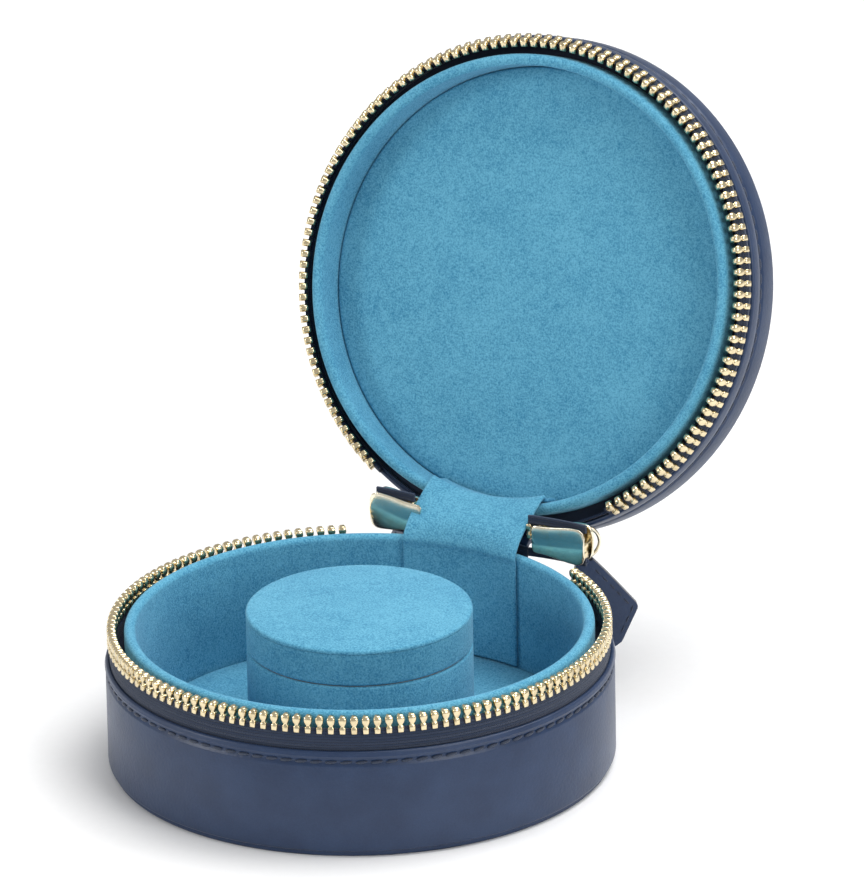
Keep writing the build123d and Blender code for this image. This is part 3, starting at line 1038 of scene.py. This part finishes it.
@dataclass
class Hinge:
    """The suede strap inside the hinge and the leather spine outside it."""

    sizes: Sizes
    finishes: Finishes
    strap_width: float = 29.0
    strap_thick: float = 0.9
    spine_width: float = 25.0
    spine_thick: float = 1.1

    def build(self) -> None:
        """Builds and dresses both."""
        self.strap()
        self.spine()

    def strap(self) -> None:
        """Up the base's wall, over the gap and into the lid."""
        sizes = self.sizes
        skin = sizes.lining_inner - 0.25 - self.strap_thick / 2
        half = self.strap_width / 2

        def shape(across: float, along: float) -> Vector:
            """The strap's middle surface."""
            x = (across - 0.5) * self.strap_width
            drop = skin - sqrt(skin ** 2 - x ** 2)
            wall = skin - drop
            path = [
                Vector((x, wall, sizes.floor + 0.4)),
                Vector((x, wall, 15)),
                Vector((x, wall, 24)),
                Vector((x, wall, sizes.lining_rim - 2.2)),
                Vector((x, wall - 0.1, sizes.lining_rim + 0.4)),
                Vector((x, skin - drop * 0.6 + 3.0, sizes.lining_rim + 4.4)),
            ]
            for height, lean in ((0.4, 0.1), (3.2, 0.0), (sizes.lid_recess - 0.9, 0.0)):
                spot = sizes.lid_point(wall - lean, height)
                path.append(Vector((x, spot.y, spot.z)))
            point = smooth_path(path, along)
            edge = abs(across - 0.5) * 2
            point.y += 0.12 * max(0.0, edge - 0.9) / 0.1
            return point

        piece = sheet("hinge_strap_suede", 28, 72, shape)
        thicken(piece, self.strap_thick)
        soften(piece, 0.28)
        tidy_mesh(piece, 60)
        rise = sizes.lid_point(skin, 0)
        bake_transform(piece)
        dress(piece, self.finishes.suede, Slot.SUEDE, None, "hinge_strap")

    def spine(self) -> None:
        """Over the outside of the hinge."""
        sizes = self.sizes
        skin = sizes.radius + 0.15 + self.spine_thick / 2

        def shape(across: float, along: float) -> Vector:
            """The spine's middle surface."""
            x = (across - 0.5) * self.spine_width
            wall = sqrt(skin ** 2 - x ** 2)
            path = [Vector((x, wall, sizes.base_rim - 8)), Vector((x, wall, sizes.base_rim - 3))]
            path.append(Vector((x, wall + 0.1, sizes.base_rim + 1.5)))
            path.append(Vector((x, (wall + skin) / 2 + 0.4, sizes.parting - 1.2)))
            for height, lean in ((4.6, 0.1), (sizes.lid_show + 3, 0), (sizes.lid_show + 8, 0)):
                spot = sizes.lid_point(wall + lean, height)
                path.append(Vector((x, spot.y, spot.z)))
            return smooth_path(path, along)

        piece = sheet("hinge_spine_leather", 24, 48, shape)
        thicken(piece, self.spine_thick)
        soften(piece, 0.3)
        tidy_mesh(piece, 60)
        base_end = (0, sizes.radius * MM, (sizes.base_rim + 3) * MM)
        lid_end = sizes.lid_point(sizes.radius, sizes.lid_show - 2)
        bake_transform(piece)
        dress(piece, self.finishes.leather, Slot.LEATHER, None, "hinge_spine")


# ---- zipper tails, sliders and pulls


class Side(Enum):
    """Which side of the hinge a piece is on, seen from the front."""

    LEFT = -1
    RIGHT = 1

    @property
    def word(self) -> str:
        """The side in names."""
        return self.name.lower()


@dataclass
class Tail:
    """The joined end of the zipper beside the strap."""

    side: Side
    sizes: Sizes
    finishes: Finishes
    start: float = 15.3
    edge: float = 5.0
    root_gap: float = 3.05
    tape_end: tuple = (25.6, 30.6)

    def build(self) -> None:
        """Builds teeth and tape."""
        sizes, way = self.sizes, self.side.value
        word = self.side.word
        centre = pivot(f"slider_{word}_travel")
        swing = -joint(f"zip_tail_{word}_swing")["range_deg"][0]
        middle = centre.z
        axis = Vector((centre.x, centre.y, 0)) * MM
        first = ceil(self.start / sizes.pitch_angle)
        end = self.tape_end[0 if way < 0 else 1]
        last = int((end - 0.9) / sizes.pitch_angle)
        rows = []
        for upside, half in ((False, 0.5), (True, 0.0)):
            tooth = Tooth(length=3.8, foot=1.06, head=1.14).build()
            if upside:
                turn(tooth, 180, "X")
            move(tooth, sizes.zip_radius, 0, middle + (self.root_gap if upside else -self.root_gap))
            turn(tooth, 90 - way * ((first + half) * sizes.pitch_angle - swing), "Z")
            move(tooth, centre.x, centre.y, 0)
            ring_copies(tooth, last - first + 1, -way * sizes.pitch_angle, axis)
            rows.append(tooth)
        teeth = join(f"zip_tail_{word}_chain", rows)
        dress(teeth, self.finishes.gold, Slot.GOLD, f"zip_tail_{word}", f"zip_tail_{word}_teeth")

        def shape_at(low: float, high: float) -> Callable[[float, float], Vector]:
            """A band between two heights."""

            def shape(across: float, along: float) -> Vector:
                """The band's middle surface."""
                angle = radians(90 - way * (self.start + (end - self.start) * across - swing))
                return Vector((
                    centre.x + sizes.zip_radius * cos(angle),
                    centre.y + sizes.zip_radius * sin(angle),
                    low + (high - low) * along,
                ))

            return shape

        bands = [
            sheet("band", 20, 4, shape_at(middle - self.edge, middle - self.root_gap)),
            sheet("band", 20, 4, shape_at(middle + self.root_gap, middle + self.edge)),
        ]
        tape = join(f"zip_tail_{word}_band", bands)
        thicken(tape, sizes.tape)
        dress(tidy_mesh(tape), self.finishes.tape, Slot.TAPE, f"zip_tail_{word}", f"zip_tail_{word}_tape")


@dataclass
class Slider:
    """A slider with its crown, ring and leather pull."""

    side: Side
    sizes: Sizes
    finishes: Finishes
    length: float = 13.6
    mouth: float = 8.8
    tail: float = 6.6
    plate: float = 0.7
    channel: float = 3.0
    plate_crown: float = 0.42
    post_place: float = 4.8
    bridge_half: float = 3.6
    bridge_rise: float = 1.8
    ring_radius: float = 3.8
    wire: float = 0.9
    tab_length: float = 23.0
    tab_width: float = 17.0
    tab_foot: float = 4.0
    tab_shoulder: float = 15.5
    tab_thick: float = 2.0
    tab_lean: float = 16.0
    seam_start: float = 4.0
    seam_end: float = 2.2
    seam_inset: float = 1.5
    seam_pitch: float = 2.5

    def frame_matrix(self) -> Matrix:
        """Local X towards the mouth, local Y out of the case on the right and into it on the left."""
        word, way = self.side.word, self.side.value
        axis = Vector(joint(f"pull_{word}_ring_lift")["axis"]) * way
        middle = pivot(f"slider_{word}_travel")
        bar = pivot(f"pull_{word}_ring_lift")
        mouthward = axis.normalized()
        outward = Vector((-mouthward.y, mouthward.x, 0)) * way
        centre = middle + outward * self.sizes.zip_radius
        centre.z = bar.z
        up = Vector((0, 0, 1))
        across = up.cross(mouthward)
        turned = Matrix((mouthward, across, up)).transposed().to_4x4()
        return Matrix.Translation(centre * MM) @ turned

    def build(self) -> None:
        """Builds and dresses its pieces."""
        word = self.side.word
        body = self.body()
        place(body, self.frame_matrix())
        dress(body, self.finishes.polished, Slot.GOLD, f"slider_{word}", f"slider_{word}_body")
        crown = self.crown()
        place(crown, self.frame_matrix())
        dress(crown, self.finishes.polished, Slot.GOLD, f"slider_{word}", f"slider_{word}_crown")
        self.pull()

    def plate_piece(self, offset: float) -> bpy.types.Object:
        """One flared plate at an offset across the zipper."""
        deselect()
        bpy.ops.mesh.primitive_grid_add(x_subdivisions=26, y_subdivisions=14, size=2)
        piece = active()
        for vertex in piece.data.vertices:
            across, along = vertex.co.y, vertex.co.x
            flare = 0.5 + 0.5 * sin(pi * max(-0.5, min(0.5, along * 0.62 + 0.02)))
            height = self.tail + (self.mouth - self.tail) * flare
            corner_start = 0.62 if along > 0 else 0.86
            over = max(0.0, (abs(along) - corner_start) / (1 - corner_start))
            round_off = sqrt(max(0.0, 1 - over ** 2.6))
            floor_share = 0.55 if along > 0 else 0.80
            height *= floor_share + (1 - floor_share) * round_off
            bulge = self.plate_crown * (1 - across ** 2) * (1 if offset > 0 else -1)
            vertex.co = Vector((along * self.length / 2, bulge, across * height / 2)) * MM
        thicken(piece, self.plate)
        soften(piece, 0.25, 3)
        return move(piece, 0, offset, 0)

    def body(self) -> bpy.types.Object:
        """Two plates and the post between them."""
        offset = (self.channel + self.plate) / 2
        plates = [self.plate_piece(offset), self.plate_piece(-offset)]
        deselect()
        bpy.ops.mesh.primitive_cylinder_add(vertices=24, radius=1, depth=1)
        post = active()
        turn(post, 90, "X")
        stretch(post, 1.3 * MM, (self.channel + self.plate) * MM, 0.45 * MM)
        move(post, self.post_place, 0, 0)
        piece = join(f"slider_{self.side.word}_plates", plates + [post])
        return tidy_mesh(piece, 40)

    def crown(self) -> bpy.types.Object:
        """The arched loop on the outer plate."""
        deselect()
        bpy.ops.mesh.primitive_cube_add(size=1)
        piece = active()
        stretch(piece, 2 * self.bridge_half * MM, 0.8 * MM, 1.3 * MM)
        bpy.ops.object.mode_set(mode="EDIT")
        bpy.ops.mesh.select_all(action="SELECT")
        bpy.ops.mesh.subdivide(number_cuts=14)
        bpy.ops.object.mode_set(mode="OBJECT")
        for vertex in piece.data.vertices:
            along = vertex.co.x / (self.bridge_half * MM)
            vertex.co.y += self.bridge_rise * (1 - abs(along) ** 3.4) * MM
            vertex.co.z *= 1.0 + 0.5 * abs(along) ** 4
        soften(piece, 0.16)
        move(piece, 1.5, self.channel / 2 + self.plate + 0.4, 0)
        if self.side is Side.LEFT:
            stretch(piece, 1, -1, 1)
        piece.name = f"slider_{self.side.word}_bridge"
        return tidy_mesh(piece, 50)

    def pull(self) -> None:
        """The ring, the leather tab and its loop."""
        word, way = self.side.word, self.side.value
        across = (Vector(joint(f"pull_{word}_tab_swing")["axis"]) * way).normalized()
        wire_low = pivot(f"pull_{word}_tab_swing")
        up = Vector((0, 0, 1))
        square = across.cross(up)
        deselect()
        bpy.ops.mesh.primitive_torus_add(
            major_segments=64, minor_segments=16,
            major_radius=self.ring_radius * MM, minor_radius=self.wire / 2 * MM,
        )
        ring = active()
        ring.name = f"pull_{word}_gold_ring"
        place(ring, Matrix((across, up, square)).transposed().to_4x4())
        move(ring, *(wire_low + up * self.ring_radius))
        tidy_mesh(ring, 60)
        dress(ring, self.finishes.polished, Slot.GOLD, f"pull_ring_{word}", f"pull_{word}_ring")
        lean = radians(self.tab_lean)
        down = across * sin(lean) - up * cos(lean)
        wide = across * cos(lean) + up * sin(lean)
        hang = Matrix((wide, -down, wide.cross(-down))).transposed().to_4x4()
        eye = wire_low - up * 0.15
        at_eye = Matrix.Translation(eye * MM) @ hang
        self.tab(at_eye)
        bore = self.wire / 2 + 0.3
        outer, half, soft = bore + 0.8, 1.2, 0.2
        tube = [(bore, -half), (outer - soft, -half), (outer, soft - half)]
        tube += [(radius, -height) for radius, height in reversed(tube)]
        loop = lathe(f"pull_{word}_leather_loop", closed(tube), 40)
        place(loop, Matrix((square, up, across)).transposed().to_4x4())
        move(loop, *eye)
        tidy_mesh(loop, 50)
        dress(loop, self.finishes.leather, Slot.LEATHER, f"pull_tab_{word}", f"pull_{word}_loop")

    def half_width(self, drop: float) -> float:
        """Half the tab's width at a distance below its loop."""
        neck = 1.6
        if drop < self.tab_shoulder:
            share = drop / self.tab_shoulder
            return neck + (self.tab_width / 2 - neck) * min(1.0, share * 1.06) ** 0.92
        share = (drop - self.tab_shoulder) / (self.tab_length - self.tab_shoulder)
        wide = self.tab_width / 2 + (self.tab_foot / 2 - self.tab_width / 2) * share
        return wide * sqrt(max(0.0, 1 - max(0.0, share - 0.9) ** 2 / 0.0125))

    def tab(self, at_eye: Matrix) -> None:
        """The shield-shaped leather tab with its stitching."""
        word = self.side.word

        def shape(across: float, along: float) -> Vector:
            """The tab's middle surface."""
            drop = 0.8 + (self.tab_length - 0.8) * (1 - along)
            half = max(0.5, self.half_width(drop))
            return Vector(((across - 0.5) * 2 * half, -drop, 0.0))

        piece = sheet(f"pull_{word}_leather_tab", 16, 40, shape)
        thicken(piece, self.tab_thick)
        soften(piece, 0.45, 3)
        place(piece, at_eye)
        tidy_mesh(piece, 50)
        body = f"pull_tab_{word}"
        dress(piece, self.finishes.leather, Slot.LEATHER, body, f"pull_{word}_tab")
        piece.data.materials.append(self.finishes.edge)
        normal = (at_eye.to_3x3() @ Vector((0, 0, 1))).normalized()
        for face in piece.data.polygons:
            face.material_index = 1 if abs(face.normal.dot(normal)) < 0.75 else 0
        stitches = []
        for front in (-1, 1):
            for edge in (-1, 1):
                drop = self.seam_start
                while drop < self.tab_length - self.seam_end:
                    inset = edge * (self.half_width(drop) - self.seam_inset)
                    slope = (edge * (self.half_width(drop + 0.5) - self.seam_inset) - inset) / 0.5
                    seam = stitch(1.9, 0.42)
                    turn(seam, degrees(atan(slope)), "Z")
                    move(seam, inset, -drop, front * self.tab_thick / 2)
                    stitches.append(seam)
                    drop += self.seam_pitch / sqrt(1 + slope ** 2)
        seams = join(f"pull_{word}_stitches", stitches)
        place(seams, at_eye)
        dress(seams, self.finishes.thread, Slot.LEATHER, body)


# ---- hidden pieces and the studio


def dress_hidden(finishes: Finishes) -> None:
    """Gives every CAD node that still shows its own material."""
    by_slot = {
        Slot.LEATHER.value: finishes.leather,
        Slot.SUEDE.value: finishes.suede,
        Slot.BOARD.value: finishes.board,
        Slot.TAPE.value: finishes.tape,
        Slot.GOLD.value: finishes.polished,
    }
    slots = {part["node"]: part["material_slot"] for part in frame["record"]["subparts"]}
    for name, node in frame["nodes"].items():
        if node.hide_render:
            continue
        node.data.materials.clear()
        dark = name in ("base_shell", "lid_shell")
        node.data.materials.append(finishes.dark_board if dark else by_slot[slots[name]])


@dataclass
class Studio:
    """Floor, lights and camera."""

    azimuth: float = 29.08
    elevation: float = 22.88
    distance: float = 2.447
    roll: float = -1.14
    lens: float = 451.3
    target: Vector = Vector((0, 0, 0.020))
    aim: Vector = Vector((0.0057, 0.0254, 0.0685))

    def build(self) -> None:
        """Sets the whole stage."""
        self.floor()
        self.lights()
        self.camera()

    def floor(self) -> None:
        """A plain pale floor."""
        deselect()
        bpy.ops.mesh.primitive_plane_add(size=8)
        floor = active()
        floor.name = "studio_floor"
        nodes = Nodes("studio_floor")
        speck = nodes.noise(nodes.position(), 2, 2)
        shade = nodes.blend(speck, (0.90, 0.90, 0.90), (0.93, 0.93, 0.93))
        floor.data.materials.append(nodes.surface(Base_Color=shade, Roughness=0.6))

    def lights(self) -> None:
        """White surroundings and large soft lamps."""
        world = bpy.data.worlds.new("studio")
        bpy.context.scene.world = world
        world.use_nodes = True
        sky = world.node_tree.nodes["Background"]
        sky.inputs["Color"].default_value = (1, 1, 1, 1)
        sky.inputs["Strength"].default_value = 0.50
        self.lamp("overhead", (0.35, 0.45, 1.5), 1.1, 22)
        self.lamp("right_box", (1.5, -0.5, 0.9), 0.8, 10)
        self.lamp("left_box", (-1.3, -1.2, 0.7), 0.6, 9)

    def lamp(self, name: str, at: tuple, size: float, power: float) -> None:
        """A square soft lamp that points at the case."""
        data = bpy.data.lights.new(name, "AREA")
        data.size = size
        data.energy = power
        lamp = bpy.data.objects.new(name, data)
        bpy.context.scene.collection.objects.link(lamp)
        lamp.location = at
        lamp.rotation_euler = (Vector((0, 0.02, 0.05)) - Vector(at)).to_track_quat("-Z", "Y").to_euler()

    def camera(self) -> None:
        """A long lens from the front right."""
        data = bpy.data.cameras.new("camera")
        data.sensor_fit = "HORIZONTAL"
        data.sensor_width = 36
        data.lens = self.lens
        data.clip_end = 20
        camera = bpy.data.objects.new("camera", data)
        bpy.context.scene.collection.objects.link(camera)
        a, e = radians(self.azimuth), radians(self.elevation)
        back = Vector((sin(a) * cos(e), -cos(a) * cos(e), sin(e)))
        camera.location = self.target + back * self.distance
        look = (self.aim - camera.location).to_track_quat("-Z", "Y").to_matrix()
        camera.rotation_euler = (look @ Matrix.Rotation(radians(self.roll), 3, "Z")).to_euler()
        bpy.context.scene.camera = camera
        bpy.context.scene.view_settings.view_transform = "Standard"


def main() -> None:
    """Builds the case and its stage."""
    logging.basicConfig(level=logging.INFO, format="%(message)s")
    sizes = Sizes()
    finishes = Finishes(sizes)
    Base(sizes, finishes).build()
    RingBox(sizes, finishes).build()
    Lid(sizes, finishes).build()
    Hinge(sizes, finishes).build()
    for side in Side:
        Tail(side, sizes, finishes).build()
        Slider(side, sizes, finishes).build()
    dress_hidden(finishes)
    Studio().build()


if __name__ == "__main__":
    main()
